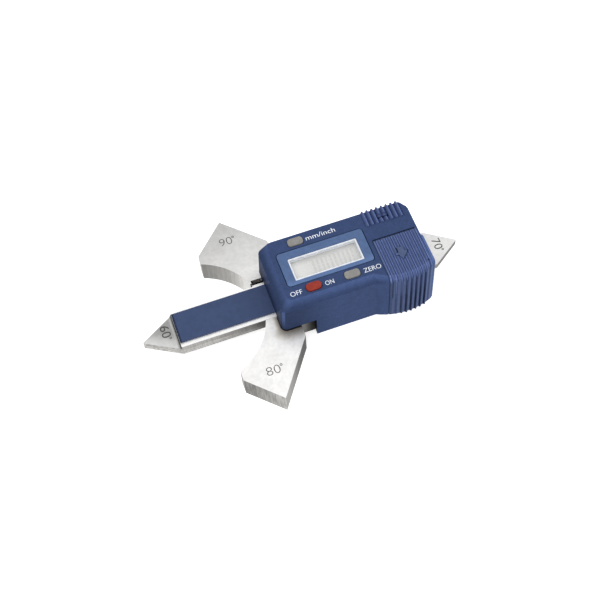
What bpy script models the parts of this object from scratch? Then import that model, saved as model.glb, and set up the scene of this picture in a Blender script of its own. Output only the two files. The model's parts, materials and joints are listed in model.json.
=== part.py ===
"""Digital weld gauge: a steel body with two pointed arms, a double-pointed sliding beam and a moulded head.

The gauge lies on its back. X runs along the beam, Y across it, Z up. The origin lies on the flat back of the
steel body, on the beam's centre line. Lengths are in metres.
"""

import math

import bmesh
import bpy
from mathutils import Matrix, Vector

# Gaps between pieces
SEAT_GAP = 0.0003
SLIDE_GAP = 0.00006
PANEL_GAP = 0.00032
KEY_GAP = 0.0002
OVERCUT = 0.002

# Steel body
FEET_X = -0.035
BODY_THICK = 0.0105
BODY_HALF_WIDTH = 0.013
ROOT_SETBACK = 0.011
FOOT_INNER = 0.02533
REAR_FOOT_WIDTH = 0.0039
FRONT_FOOT_WIDTH = 0.0045
REAR_FLANK_RUN = 0.0128
FRONT_FLANK_RUN = 0.0125
FLANK_ANGLE = math.radians(45)
REAR_ARM_ANGLE = math.radians(45)
FRONT_ARM_ANGLE = math.radians(55)
HOLLOW_DEPTH = 0.0173
RAIL_SETBACK = 0.0117
RAIL_HEIGHT = 0.0009
RAIL_LIP = 0.0008

# Sliding beam
BEAM_WIDTH = 0.016
BEAM_THICK = 0.0055
LEFT_TIP_REACH = 0.0316
RIGHT_TIP_REACH = 0.0168
LEFT_POINT_ANGLE = math.radians(60)
RIGHT_POINT_ANGLE = math.radians(70)
LEFT_STEP = 0.0017
LEFT_STEP_START = 0.0137
RIGHT_STEP = 0.0026
RIGHT_STEP_START = 0.0175
LABEL_END = 0.0132
POINT_FLAT = 0.0003
SCALE_BOARD_THICK = 0.0006
SCALE_LABEL_THICK = 0.0002
SCALE_REAR_MARGIN = 0.00103
SCALE_FRONT_MARGIN = 0.0019
STOP_PIN_RADIUS = 0.001
STOP_PIN_SETBACK = 0.0165
STOP_PIN_PROUD = 0.0009
STOP_PIN_DEPTH = 0.003
TRAVEL_OUT = 0.006
TRAVEL_IN = 0.038

# Gib
GIB_THICK = 0.00125
GIB_SLOT = 0.00155
GIB_LENGTH = 0.052
GIB_SCREW_RADIUS = 0.0009
GIB_SCREW_INSET = 0.015
GIB_SCREW_POINT_SHARE = 0.6
SOCKET_RADIUS = 0.00045

# Head
HEAD_SETBACK = 0.0032
HEAD_CLEARANCE = 0.00045
SKIRT_START = 0.0139
SKIRT_LIFT = 0.00015
SKIRT_GAP = 0.0003
SIDE_WALL = 0.002
END_WALL = 0.002
LEFT_WALL = 0.0032
TOP_WALL = 0.002
HEAD_CORNER = 0.0024
BEVEL_DROP = 0.003
LEFT_DRAFT = 0.0006
LEFT_BEVEL = 0.0041
REAR_CORNER_RUN = 0.0026
REAR_CORNER_DROP = 0.0039
REAR_CORNER_EASE = 0.12
EDGE_ROUND = 0.0004
EDGE_EASE = 0.3
BEAM_MOUTH_GAP = 0.0004

# Grip and battery cover
COVER_LAP = 0.0013
COVER_GAP = 0.0002
COVER_OVERHANG = 0.0013
COVER_STEP_Y = -0.0019
COVER_WALL = 0.0016
GRIP_RUN_IN = 0.0048
GRIP_BULGE = 0.00285
GRIP_ROUND = 0.0028
GRIP_ROUND_LEVELS = (1.0, 0.74, 0.5, 0.29, 0.134, 0.034, 0.0)
GRIP_END_ROUND = 0.0031
TONGUE_WIDTH = 0.0065
TONGUE_REACH = 0.0018
TONGUE_THICK = 0.0007
RIDGE_PITCH = 0.002
RIDGE_WIDTH = 0.00125
RIDGE_HEIGHT = 0.00078
RIDGE_GROWTH = 0.005
RIDGE_LEAST_GROWTH = 0.3
RIDGE_ROOT = 0.00025
RIDGE_SECTION = [(-0.5, 0), (-0.27, 0.62), (-0.1, 0.96), (0.1, 0.96), (0.27, 0.62), (0.5, 0)]
RIDGE_INSET = 0.0008
RIDGE_STRIP = 0.0069
ARROW_PLACE = 3.8
ARROW_START = 0.0067
ARROW_LENGTH = 0.0049
ARROW_HALF_WIDTH = 0.0024
ARROW_SHAFT_HALF = 0.0012
ARROW_HEAD = 0.0026
ARROW_RISE = 0.00095
ARROW_GAP = 0.0004

# Battery bay
CELL_RADIUS = 0.0058
CELL_THICK = 0.0054
CELL_ROOM = 0.00035
CELL_SIDE_ROOM = 0.00145
BAY_WALL = 0.001
BAY_FLOOR = 0.0012
CONTACT_THICK = 0.0003
CELL_EDGE = 0.00032
CELL_BASE_SHARE = 0.8
CELL_RIM_SHARE = 0.84

# Window and display
PANEL_LENGTH = 0.0349
PANEL_START = 0.0063
PANEL_END_MARGIN = 0.0021
PANEL_REAR_MARGIN = 0.0066
PANEL_FRONT_MARGIN = 0.00875
PANEL_THICK = 0.0012
PANEL_CORNER = 0.0012
WINDOW_X_MARGIN = 0.00345
WINDOW_FRONT_MARGIN = 0.0017
WINDOW_REAR_MARGIN = 0.0034
BEZEL_RIM = 0.00065
BEZEL_SINK = 0.00015
LENS_THICK = 0.0008
LENS_SINK = 0.0005
LCD_BORDER = 0.0021
LCD_THICK = 0.0018
CONNECTOR_WIDTH = 0.0016
CONNECTOR_HEIGHT = 0.0016

# Keys
KEY_LENGTH = 0.0062
KEY_WIDTH = 0.0034
KEY_PROUD = 0.0007
POWER_KEY_PROUD = 0.001
KEY_TRAVEL = 0.0005
KEY_FLANGE = 0.0006
KEY_EAR = 0.0008
KEY_CROWN = 0.0004
KEY_CROWN_EASE = 0.35
KEY_END_SHARE = 0.72
POWER_KEY_END_SHARE = 0.97
KEY_START = 0.00905
ZERO_KEY_END = 0.0104
REAR_KEY_INSET = 0.0034
FRONT_KEY_INSET = 0.0057
SWITCH_WIDTH = 0.0024
SWITCH_LENGTH = 0.0045
PLUNGER_RADIUS = 0.001
PLUNGER_RISE = 0.0009

# Boards and fasteners
BOARD_THICK = 0.0012
BOARD_SPACE = 0.00594
BOARD_MARGIN = 0.0004
CHIP_SIZE = 0.008
CHIP_THICK = 0.0009
HEADER_LENGTH = 0.010
HEADER_WIDTH = 0.002
POST_RADIUS = 0.0014
POST_INSET = 0.0017
BOARD_SCREW_RADIUS = 0.0005
BOARD_SCREW_HEAD = 0.001
BOARD_SCREW_CROWN = 0.7
BOARD_SCREW_REACH = 0.002
BOARD_SCREW_HOLE = 0.0025
BOSS_RADIUS = 0.0017
BOSS_INSET = 0.0052
RIGHT_SCREW_INSET = 0.0058
SCREW_RADIUS = 0.0009
SCREW_HEAD_RADIUS = 0.0018
SCREW_WEB = 0.0006
SCREW_REACH = 0.00315
SCREW_HOLE_DEPTH = 0.0036

# Data port
PORT_OFFSET = 0.00787
PORT_WIDTH = 0.0043
PORT_COVER_THICK = 0.0009
PORT_COVER_LENGTH = 0.0043
PORT_NOTCH = 0.0008
PORT_COVER_DROP = 0.0068
PORT_BLOCK_DEPTH = 0.003

STEEL = ((0.62, 0.62, 0.61, 1.0), 0.32, 1.0)
SCREW_STEEL = ((0.45, 0.45, 0.46, 1.0), 0.35, 1.0)
BLUE_PLASTIC = ((0.075, 0.105, 0.29, 1.0), 0.42, 0.0)
LABEL_BLUE = ((0.035, 0.06, 0.17, 1.0), 0.4, 0.0)
GREY_KEY = ((0.52, 0.5, 0.44, 1.0), 0.5, 0.0)
RED_KEY = ((0.62, 0.06, 0.025, 1.0), 0.4, 0.0)
WHITE_RIM = ((0.85, 0.86, 0.88, 1.0), 0.4, 0.0)
DISPLAY = ((0.72, 0.71, 0.66, 1.0), 0.25, 0.0)
CLEAR = ((0.9, 0.93, 0.95, 0.3), 0.08, 0.0)
BOARD_GREEN = ((0.03, 0.16, 0.07, 1.0), 0.5, 0.0)
BLACK_PLASTIC = ((0.02, 0.02, 0.022, 1.0), 0.45, 0.0)
RUBBER_GREY = ((0.25, 0.22, 0.24, 1.0), 0.7, 0.0)
BRIGHT_METAL = ((0.75, 0.74, 0.7, 1.0), 0.22, 1.0)
GOLD = ((0.8, 0.6, 0.25, 1.0), 0.3, 1.0)

# Places that follow from the sizes
hollow_bottom = FEET_X + HOLLOW_DEPTH
hollow_radius = (FOOT_INNER ** 2 + HOLLOW_DEPTH ** 2) / (2 * HOLLOW_DEPTH)
hollow_centre = hollow_bottom - hollow_radius
head_left = hollow_bottom + HEAD_SETBACK
panel_left = head_left + PANEL_START
panel_right = panel_left + PANEL_LENGTH
cover_left = panel_right + PANEL_END_MARGIN
bay_left = cover_left + 2 * BAY_WALL
cavity_right = bay_left + 2 * (CELL_RADIUS + CELL_SIDE_ROOM)
head_right = cavity_right + END_WALL
cover_right = head_right + COVER_OVERHANG
body_root = hollow_bottom + ROOT_SETBACK
body_right = head_right - END_WALL - SKIRT_GAP
beam_half = BEAM_WIDTH / 2
beam_bottom = BODY_THICK - BEAM_THICK
beam_left = FEET_X - LEFT_TIP_REACH
beam_right = head_right + RIGHT_TIP_REACH
stop_pin_x = head_left + STOP_PIN_SETBACK
scale_rear = beam_half - SCALE_REAR_MARGIN
scale_front = -beam_half + SCALE_FRONT_MARGIN
label_top = BODY_THICK + SCALE_BOARD_THICK + SCALE_LABEL_THICK
channel_half = beam_half + SLIDE_GAP
channel_floor = beam_bottom - SLIDE_GAP
channel_top = BODY_THICK + SLIDE_GAP
rail_left = hollow_bottom + RAIL_SETBACK
rail_top = channel_top + RAIL_HEIGHT
gib_inner = channel_half
gib_outer = gib_inner + GIB_THICK
slot_outer = gib_outer + GIB_SLOT
gib_left = hollow_centre + math.sqrt(hollow_radius ** 2 - gib_inner ** 2)
gib_right = gib_left + GIB_LENGTH
gib_middle = (channel_floor + channel_top) / 2

sensor_board_bottom = rail_top + SEAT_GAP
sensor_board_top = sensor_board_bottom + BOARD_THICK
main_board_bottom = sensor_board_top + BOARD_SPACE
main_board_top = main_board_bottom + BOARD_THICK
connector_bottom = main_board_top + SEAT_GAP
connector_top = connector_bottom + CONNECTOR_HEIGHT
lcd_bottom = connector_top + SEAT_GAP
lcd_top = lcd_bottom + LCD_THICK
head_ceiling = lcd_top + SEAT_GAP
head_top = head_ceiling + TOP_WALL
bevel_start = head_top - BEVEL_DROP

head_half = BODY_HALF_WIDTH + SKIRT_GAP + SIDE_WALL
inner_half = BODY_HALF_WIDTH + SKIRT_GAP
head_under = BODY_THICK + HEAD_CLEARANCE
skirt_left = head_left + SKIRT_START
cavity_left = head_left + LEFT_WALL
mouth_half = beam_half + BEAM_MOUTH_GAP
mouth_top = label_top + BEAM_MOUTH_GAP

cover_under = head_ceiling + COVER_GAP
cover_inner = -(inner_half + COVER_GAP)
grip_left = cover_left - GRIP_RUN_IN
grip_middle = (grip_left + cover_right) / 2
grip_chord = (cover_right - grip_left) / 2
grip_radius = (grip_chord ** 2 + GRIP_BULGE ** 2) / (2 * GRIP_BULGE)
grip_centre_y = grip_radius - GRIP_BULGE - head_half
grip_end_x = cover_right - GRIP_END_ROUND
grip_end_y = grip_centre_y - math.sqrt((grip_radius - GRIP_END_ROUND) ** 2 - (grip_end_x - grip_middle) ** 2)
grip_end_turn = math.degrees(math.atan2(grip_end_y - grip_centre_y, grip_end_x - grip_middle))
grip_start_turn = -90 + math.degrees(math.asin((cover_left - grip_middle) / grip_radius))

bay_front = -(inner_half - COVER_LAP)
cell_x = (bay_left + cavity_right) / 2 - CONTACT_THICK
cell_y = bay_front + CELL_ROOM + CELL_RADIUS
bay_rear = cell_y + CELL_RADIUS + CELL_ROOM
cover_rear = bay_rear + COVER_LAP
tongue_top = head_ceiling - COVER_GAP
tongue_under = tongue_top - TONGUE_THICK
cell_top = tongue_under - COVER_GAP
cell_bottom = cell_top - CELL_THICK
bay_floor_top = cell_bottom - CONTACT_THICK - 2 * SEAT_GAP

panel_rear = head_half - PANEL_REAR_MARGIN
panel_front = -head_half + PANEL_FRONT_MARGIN
panel_under = head_top - PANEL_THICK
window_left = panel_left + WINDOW_X_MARGIN
window_right = panel_right - WINDOW_X_MARGIN
window_front = panel_front + WINDOW_FRONT_MARGIN
window_rear = panel_rear - WINDOW_REAR_MARGIN

left_key_x = panel_left + KEY_START
zero_key_x = panel_right - ZERO_KEY_END
rear_key_y = head_half - REAR_KEY_INSET
front_key_y = -head_half + FRONT_KEY_INSET
key_flange_top = head_ceiling - KEY_GAP
key_flange_bottom = key_flange_top - KEY_FLANGE
plunger_top = key_flange_bottom - KEY_TRAVEL - KEY_GAP

left_screw_x = head_left + BOSS_INSET
left_screw_y = slot_outer + SCREW_RADIUS + SEAT_GAP + SCREW_WEB
right_screw_x = cavity_right - RIGHT_SCREW_INSET + END_WALL
right_screw_y = (channel_half + BODY_HALF_WIDTH) / 2
screw_places = [
    (left_screw_x, left_screw_y),
    (left_screw_x, -left_screw_y),
    (right_screw_x, right_screw_y),
    (right_screw_x, -right_screw_y),
]
board_left = left_screw_x + BOSS_RADIUS + BOARD_MARGIN
board_right = cover_left - BOARD_MARGIN - BAY_WALL
board_half = inner_half - BOARD_MARGIN
wing_front = cover_rear + 2 * BAY_WALL
wing_right = cavity_right - BOARD_MARGIN
post_places = [
    (board_left + POST_INSET, board_half - POST_INSET),
    (board_left + POST_INSET, -(board_half - POST_INSET)),
    (board_right - POST_INSET, -(board_half - POST_INSET)),
]

port_x = cover_left + PORT_OFFSET
port_left = port_x - PORT_WIDTH / 2
port_right = port_x + PORT_WIDTH / 2
port_cover_front = head_half - PORT_COVER_LENGTH
ridge_first = cover_left + RIDGE_INSET
arrow_x = ridge_first + ARROW_PLACE * RIDGE_PITCH


def arc(centre_x, centre_y, radius, start, end, steps):
    """Points of an arc, angles in degrees, both ends included."""
    points = []
    for step in range(steps + 1):
        angle = math.radians(start + (end - start) * step / steps)
        points.append((centre_x + radius * math.cos(angle), centre_y + radius * math.sin(angle)))
    return points


def rounded_rectangle(left, right, front, rear, radius, steps=4):
    return (
        arc(right - radius, rear - radius, radius, 0, 90, steps)
        + arc(left + radius, rear - radius, radius, 90, 180, steps)
        + arc(left + radius, front + radius, radius, 180, 270, steps)
        + arc(right - radius, front + radius, radius, 270, 360, steps)
    )


def rectangle(left, right, front, rear):
    return [(left, front), (right, front), (right, rear), (left, rear)]


def circle(centre_x, centre_y, radius, steps=20):
    return arc(centre_x, centre_y, radius, 0, 360, steps)[:-1]


def close_loft(bm, rings):
    """Joins rings of equal point count into one closed form with capped ends."""
    rows = [[bm.verts.new(point) for point in ring] for ring in rings]
    count = len(rows[0])
    for low, high in zip(rows, rows[1:]):
        for index in range(count):
            following = (index + 1) % count
            bm.faces.new((low[index], low[following], high[following], high[index]))
    bm.faces.new(rows[0])
    bm.faces.new(rows[-1])


def add_prism(bm, outline, low, high, plane="XY"):
    """Extrudes an outline: XY along Z, XZ along Y, YZ along X."""
    turn = {
        "XY": lambda u, v, w: (u, v, w),
        "XZ": lambda u, v, w: (u, w, v),
        "YZ": lambda u, v, w: (w, u, v),
    }[plane]
    close_loft(bm, [[turn(u, v, level) for u, v in outline] for level in (low, high)])


def add_turned(bm, u, v, profile, steps=16, plane="XY"):
    """A round form about an axis along Z, or along Y for XZ, from (radius, level) pairs."""
    rings = []
    for radius, level in profile:
        if plane == "XY":
            rings.append([(a, b, level) for a, b in circle(u, v, radius, steps)])
        else:
            rings.append([(a, level, b) for a, b in circle(u, v, radius, steps)])
    close_loft(bm, rings)


def add_box(bm, left, right, front, rear, low, high):
    add_prism(bm, rectangle(left, right, front, rear), low, high)


def material(name, finish):
    colour, roughness, metallic = finish
    made = bpy.data.materials.new(name)
    made.use_nodes = True
    shader = made.node_tree.nodes["Principled BSDF"]
    shader.inputs["Base Color"].default_value = colour
    shader.inputs["Roughness"].default_value = roughness
    shader.inputs["Metallic"].default_value = metallic
    shader.inputs["Alpha"].default_value = colour[3]
    return made


def make_object(name, bm, origin=(0, 0, 0)):
    bmesh.ops.recalc_face_normals(bm, faces=bm.faces)
    mesh = bpy.data.meshes.new(name)
    bm.to_mesh(mesh)
    bm.free()
    mesh.transform(Matrix.Translation(-Vector(origin)))
    made = bpy.data.objects.new(name, mesh)
    made.location = origin
    bpy.context.collection.objects.link(made)
    return made


def make_piece(name, bm, finish, origin=(0, 0, 0), smooth=True):
    piece = make_object(name, bm, origin)
    piece.data.materials.append(material(name, finish))
    if smooth:
        piece.data.shade_smooth()
        piece.data.set_sharp_from_angle(angle=math.radians(30))
    return piece


def make_tool(name, bm):
    """A hidden form that only cuts or joins another piece."""
    tool = make_object(name, bm)
    tool.hide_render = True
    tool.display_type = "WIRE"
    return tool


def combine(piece, operation, tool):
    step = piece.modifiers.new(tool.name, "BOOLEAN")
    step.operation = operation
    step.solver = "EXACT"
    step.object = tool


def carve(piece, name, build):
    bm = bmesh.new()
    build(bm)
    combine(piece, "DIFFERENCE", make_tool(name, bm))


def weld(piece, name, build):
    bm = bmesh.new()
    build(bm)
    combine(piece, "UNION", make_tool(name, bm))


# Steel body


def body_outline():
    rear_outer = FOOT_INNER + REAR_FOOT_WIDTH
    front_outer = FOOT_INNER + FRONT_FOOT_WIDTH
    rear_corner = (FEET_X + REAR_FLANK_RUN, rear_outer + REAR_FLANK_RUN * math.tan(FLANK_ANGLE))
    front_corner = (FEET_X + FRONT_FLANK_RUN, -front_outer - FRONT_FLANK_RUN * math.tan(FLANK_ANGLE))
    rear_root = rear_corner[1] - (body_root - rear_corner[0]) * math.tan(REAR_ARM_ANGLE)
    front_root = front_corner[1] + (body_root - front_corner[0]) * math.tan(FRONT_ARM_ANGLE)
    half_angle = math.degrees(math.asin(FOOT_INNER / hollow_radius))
    return [
        (FEET_X, rear_outer),
        rear_corner,
        (body_root, rear_root),
        (body_root, BODY_HALF_WIDTH),
        (body_right, BODY_HALF_WIDTH),
        (body_right, -BODY_HALF_WIDTH),
        (body_root, -BODY_HALF_WIDTH),
        (body_root, front_root),
        front_corner,
        (FEET_X, -front_outer),
    ] + arc(hollow_centre, 0, hollow_radius, -half_angle, half_angle, 32)


def build_body():
    bm = bmesh.new()
    add_prism(bm, body_outline(), 0, BODY_THICK)
    body = make_piece("angle_body", bm, STEEL)

    def rails(bm):
        add_box(bm, rail_left, body_right, -BODY_HALF_WIDTH, BODY_HALF_WIDTH, BODY_THICK / 2, rail_top)

    def channel(bm):
        lip = beam_half - RAIL_LIP
        outline = [
            (-channel_half, channel_floor),
            (channel_half, channel_floor),
            (channel_half, channel_top),
            (lip, channel_top),
            (lip, rail_top + OVERCUT),
            (-lip, rail_top + OVERCUT),
            (-lip, channel_top),
            (-channel_half, channel_top),
        ]
        add_prism(bm, outline, FEET_X - OVERCUT, body_right + OVERCUT, "YZ")

    def open_channel(bm):
        left = FEET_X - OVERCUT
        add_box(bm, left, rail_left, -channel_half, channel_half, channel_floor, rail_top + OVERCUT)

    def gib_pocket(bm):
        start = gib_left - 2 * OVERCUT
        add_box(bm, start, gib_right + SEAT_GAP, 0, gib_outer + SEAT_GAP, channel_floor, channel_top)

    def gib_slot(bm):
        add_box(bm, gib_left, gib_right + SEAT_GAP, 0, slot_outer, channel_floor, channel_top)

    def open_gib_slot(bm):
        add_box(bm, gib_left, rail_left, 0, slot_outer, gib_middle, rail_top + OVERCUT)

    def stop_groove(bm):
        half = STOP_PIN_RADIUS + SEAT_GAP / 2
        depth = channel_floor - STOP_PIN_PROUD - SEAT_GAP / 2
        left = stop_pin_x - TRAVEL_OUT
        right = stop_pin_x + TRAVEL_IN
        outline = arc(right, 0, half, -90, 90, 8) + arc(left, 0, half, 90, 270, 8)
        add_prism(bm, outline, depth, gib_middle)

    def screw_holes(bm):
        radius = SCREW_RADIUS + SEAT_GAP / 2
        head = SCREW_HEAD_RADIUS + SEAT_GAP / 2
        profile = [(head, -OVERCUT), (head, 0), (radius, head - radius), (radius, BODY_THICK + OVERCUT)]
        for x, y in screw_places:
            add_turned(bm, x, y, profile)

    def gib_screw_holes(bm):
        for x in gib_screw_xs():
            outline = circle(x, gib_middle, GIB_SCREW_RADIUS + SEAT_GAP / 2, 16)
            add_prism(bm, outline, gib_outer, BODY_HALF_WIDTH + OVERCUT, "XZ")

    weld(body, "rail_blank", rails)
    carve(body, "channel_cut", channel)
    carve(body, "open_channel_cut", open_channel)
    carve(body, "gib_pocket_cut", gib_pocket)
    carve(body, "gib_slot_cut", gib_slot)
    carve(body, "open_gib_slot_cut", open_gib_slot)
    carve(body, "stop_groove_cut", stop_groove)
    carve(body, "screw_hole_cut", screw_holes)
    carve(body, "gib_screw_hole_cut", gib_screw_holes)


def gib_screw_xs():
    return [gib_left + GIB_SCREW_INSET + SEAT_GAP, gib_right - GIB_SCREW_INSET]


def build_gib():
    bm = bmesh.new()
    add_box(bm, gib_left, gib_right, gib_inner, gib_outer, channel_floor + SLIDE_GAP, BODY_THICK - SLIDE_GAP)
    make_piece("gib_strip", bm, STEEL)

    start = gib_outer + SEAT_GAP
    profile = [
        (GIB_SCREW_RADIUS * GIB_SCREW_POINT_SHARE, start),
        (GIB_SCREW_RADIUS, start + GIB_SCREW_RADIUS * (1 - GIB_SCREW_POINT_SHARE)),
        (GIB_SCREW_RADIUS, BODY_HALF_WIDTH),
        (SOCKET_RADIUS, BODY_HALF_WIDTH),
        (SOCKET_RADIUS, BODY_HALF_WIDTH - SOCKET_RADIUS * 2),
    ]
    for number, x in enumerate(gib_screw_xs(), 1):
        bm = bmesh.new()
        add_turned(bm, x, gib_middle, profile, 12, "XZ")
        make_piece(f"gib_screw_{number}", bm, SCREW_STEEL)


# Beam


def beam_outline():
    left_run = beam_half / math.tan(LEFT_POINT_ANGLE / 2)
    right_run = beam_half / math.tan(RIGHT_POINT_ANGLE / 2)
    left_flat = POINT_FLAT / 2 / math.tan(LEFT_POINT_ANGLE / 2)
    right_flat = POINT_FLAT / 2 / math.tan(RIGHT_POINT_ANGLE / 2)
    return [
        (beam_left + left_flat, -POINT_FLAT / 2),
        (beam_left + left_run, -beam_half),
        (beam_right - right_run, -beam_half),
        (beam_right - right_flat, -POINT_FLAT / 2),
        (beam_right - right_flat, POINT_FLAT / 2),
        (beam_right - right_run, beam_half),
        (beam_left + left_run, beam_half),
        (beam_left + left_flat, POINT_FLAT / 2),
    ]


def build_beam():
    middle = (beam_left + beam_right) / 2
    origin = (middle, 0, beam_bottom)
    bm = bmesh.new()
    add_prism(bm, beam_outline(), beam_bottom, BODY_THICK)
    beam = make_piece("beam", bm, STEEL, origin)
    step_left = beam_left + LEFT_STEP_START
    step_right = beam_right - RIGHT_STEP_START
    reach = beam_half + OVERCUT

    def left_step(bm):
        cove = arc(step_left - LEFT_STEP, BODY_THICK, LEFT_STEP, 270, 360, 6)
        top = BODY_THICK + OVERCUT
        outline = [(beam_left - OVERCUT, BODY_THICK - LEFT_STEP)] + cove
        outline += [(step_left, top), (beam_left - OVERCUT, top)]
        add_prism(bm, outline, -reach, reach, "XZ")

    def right_step(bm):
        cove = arc(step_right + RIGHT_STEP, beam_bottom, RIGHT_STEP, 180, 90, 6)
        low = beam_bottom - OVERCUT
        outline = [(step_right, low)] + cove
        outline += [(beam_right + OVERCUT, beam_bottom + RIGHT_STEP), (beam_right + OVERCUT, low)]
        add_prism(bm, outline, -reach, reach, "XZ")

    def pin_hole(bm):
        outline = circle(stop_pin_x, 0, STOP_PIN_RADIUS + SEAT_GAP / 3)
        add_prism(bm, outline, beam_bottom - OVERCUT, beam_bottom + STOP_PIN_DEPTH)

    carve(beam, "left_step_cut", left_step)
    carve(beam, "right_step_cut", right_step)
    carve(beam, "pin_hole_cut", pin_hole)

    board_start = step_left + SLIDE_GAP
    board_end = beam_right - LABEL_END
    bm = bmesh.new()
    board_base = BODY_THICK + SLIDE_GAP
    board_cap = BODY_THICK + SCALE_BOARD_THICK
    add_box(bm, board_start, board_end, scale_front, scale_rear, board_base, board_cap)
    make_piece("scale_board", bm, BOARD_GREEN, origin)
    bm = bmesh.new()
    add_box(bm, board_start, board_end, scale_front, scale_rear, board_cap + SLIDE_GAP, label_top)
    make_piece("scale_label", bm, LABEL_BLUE, origin)
    bm = bmesh.new()
    outline = circle(stop_pin_x, 0, STOP_PIN_RADIUS, 16)
    add_prism(bm, outline, channel_floor - STOP_PIN_PROUD, beam_bottom + STOP_PIN_DEPTH - SEAT_GAP)
    make_piece("beam_stop_pin", bm, SCREW_STEEL, origin)


# Head


def grip_front(x):
    """Front face of the head at x: flat, with a round bulge along the grip."""
    if x <= grip_left:
        return -head_half
    return grip_centre_y - math.sqrt(grip_radius ** 2 - (x - grip_middle) ** 2)


def edge_inset(level, radius):
    """How far a rounded edge has drawn in at a level near the head's top."""
    rise = level - (head_top - radius)
    if rise <= 0:
        return 0
    return radius - math.sqrt(max(radius ** 2 - rise ** 2, 0))


def head_ring(level):
    bevel = max(level - bevel_start, 0)
    draft = LEFT_DRAFT * min(max((level - head_under) / (bevel_start - head_under), 0), 1)
    left = head_left + draft + bevel * (LEFT_BEVEL - LEFT_DRAFT) / BEVEL_DROP
    front = -head_half + bevel
    rear = head_half - edge_inset(level, EDGE_ROUND)
    right = head_right - edge_inset(level, EDGE_ROUND)
    grip_inset = edge_inset(level, GRIP_ROUND)
    points = arc(left + HEAD_CORNER, rear - HEAD_CORNER, HEAD_CORNER, 90, 180, 6)
    points += arc(left + HEAD_CORNER, front + HEAD_CORNER, HEAD_CORNER, 180, 270, 6)
    points.append((grip_left, front))
    run_in = 4
    for step in range(1, run_in + 1):
        x = grip_left + GRIP_RUN_IN * step / run_in
        share = step / run_in
        points.append((x, grip_front(x) + bevel * (1 - share) + grip_inset * share))
    points += arc(grip_middle, grip_centre_y, grip_radius - grip_inset, grip_start_turn, grip_end_turn, 12)[1:]
    points += arc(grip_end_x, grip_end_y, GRIP_END_ROUND - grip_inset, grip_end_turn, 0, 4)[1:]
    points += [(cover_right - grip_inset, COVER_STEP_Y), (right, COVER_STEP_Y)]
    far = 1 - 2 * REAR_CORNER_EASE
    for along, drop in (0, 1), (REAR_CORNER_EASE, far), (far, REAR_CORNER_EASE), (1, 0):
        points.append((right - along * REAR_CORNER_RUN, rear - drop * REAR_CORNER_DROP))
    return [(x, y, level) for x, y in points]


def add_head_form(bm):
    levels = [SKIRT_LIFT, head_under, bevel_start]
    levels += [head_top - GRIP_ROUND * share for share in GRIP_ROUND_LEVELS]
    close_loft(bm, [head_ring(level) for level in levels])


def add_ridge(bm, x, path):
    """A ridge of the RIDGE_SECTION form along a path of (y, z, outward y, outward z) in the plane of x."""
    root = -RIDGE_ROOT / RIDGE_HEIGHT
    section = [(RIDGE_SECTION[0][0], root)] + RIDGE_SECTION + [(RIDGE_SECTION[-1][0], root)]
    rings = []
    for y, z, out_y, out_z in path:
        ring = []
        for across, rise in section:
            height = rise * RIDGE_HEIGHT
            ring.append((x + across * RIDGE_WIDTH, y + out_y * height, z + out_z * height))
        rings.append(ring)
    close_loft(bm, rings)


def rear_ridge_path(start_y, foot_z):
    turn = EDGE_ROUND
    diagonal = math.sqrt(0.5)
    path = [(start_y, head_top, 0, 1)]
    path.append((head_half - turn, head_top, 0, 1))
    corner = turn * (1 - diagonal)
    path.append((head_half - corner, head_top - corner, diagonal, diagonal))
    path.append((head_half, head_top - turn, 1, 0))
    path.append((head_half, foot_z, 1, 0))
    return path


def front_ridge_path(x, start_y):
    """Full height on top. On the side wall the ridges grow from the left, and one over the end round stays on top."""
    face = grip_front(x)
    growth = min(max((x - ridge_first) / RIDGE_GROWTH, RIDGE_LEAST_GROWTH), 1)
    path = [(start_y, head_top, 0, 1)]
    if x + RIDGE_WIDTH / 2 > grip_end_x:
        return path + [(face + GRIP_ROUND, head_top, 0, 1)]
    for angle in (90, 72, 54, 36, 18, 0):
        out_y = -math.cos(math.radians(angle))
        out_z = math.sin(math.radians(angle))
        share = growth + (1 - growth) * out_z
        y = face + GRIP_ROUND + GRIP_ROUND * out_y
        path.append((y, head_top - GRIP_ROUND + GRIP_ROUND * out_z, out_y * share, out_z * share))
    path.append((face, SKIRT_LIFT + SEAT_GAP, -growth, 0))
    return path


def ridge_xs(limit):
    count = int((limit - ridge_first) / RIDGE_PITCH) + 1
    return [ridge_first + index * RIDGE_PITCH for index in range(count)]


def rear_ridge_xs():
    return ridge_xs(head_right - REAR_CORNER_RUN - RIDGE_WIDTH / 2)


def add_rear_ridges(bm):
    for x in rear_ridge_xs():
        add_ridge(bm, x, rear_ridge_path(head_half - RIDGE_STRIP, SKIRT_LIFT + SEAT_GAP))


def head_cavity(bm):
    wall = bay_left - BAY_WALL
    outline = [
        (cavity_left, -inner_half),
        (wall, -inner_half),
        (wall, bay_rear + BAY_WALL),
        (cavity_right, bay_rear + BAY_WALL),
        (cavity_right, inner_half),
        (cavity_left, inner_half),
    ]
    add_prism(bm, outline, -OVERCUT, head_ceiling)


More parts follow.
